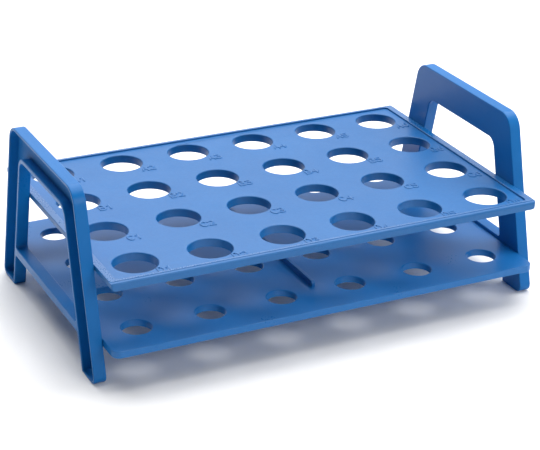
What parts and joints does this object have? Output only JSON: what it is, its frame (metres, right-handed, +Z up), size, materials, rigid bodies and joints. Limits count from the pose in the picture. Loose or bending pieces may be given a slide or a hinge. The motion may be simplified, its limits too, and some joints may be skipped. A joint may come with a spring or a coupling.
{
  "type": "test tube rack",
  "caption": "Free-standing test tube rack: a grid of round holes over a plate of smaller holes, held by two splayed end frames with hand grips.",
  "frame": {"origin": "on the table, midway between the four feet", "axes": "+X along the long rows of six holes, towards the right end; +Y towards the back row; +Z up"},
  "size_m": [0.2282, 0.146, 0.0862],
  "materials": {
    "upper_plate_plastic": "satin moulded polypropylene with a fine mould grain",
    "lower_plate_plastic": "satin moulded polypropylene with a fine mould grain",
    "frame_plastic": "satin moulded polypropylene, smoother than the plates"
  },
  "bodies": {
    "plates": {"upper_tube_plate": "upper_plate_plastic", "lower_tube_plate": "lower_plate_plastic"},
    "left_frame": {"left_end_frame": "frame_plastic"},
    "right_frame": {"right_end_frame": "frame_plastic"}
  },
  "joints": [
    {"name": "left_frame_pull", "type": "slide", "parent": "plates", "child": "left_frame", "axis": [-1, 0, 0], "range_m": [0, 0.012]},
    {"name": "right_frame_pull", "type": "slide", "parent": "plates", "child": "right_frame", "axis": [1, 0, 0], "range_m": [0, 0.012]}
  ]
}
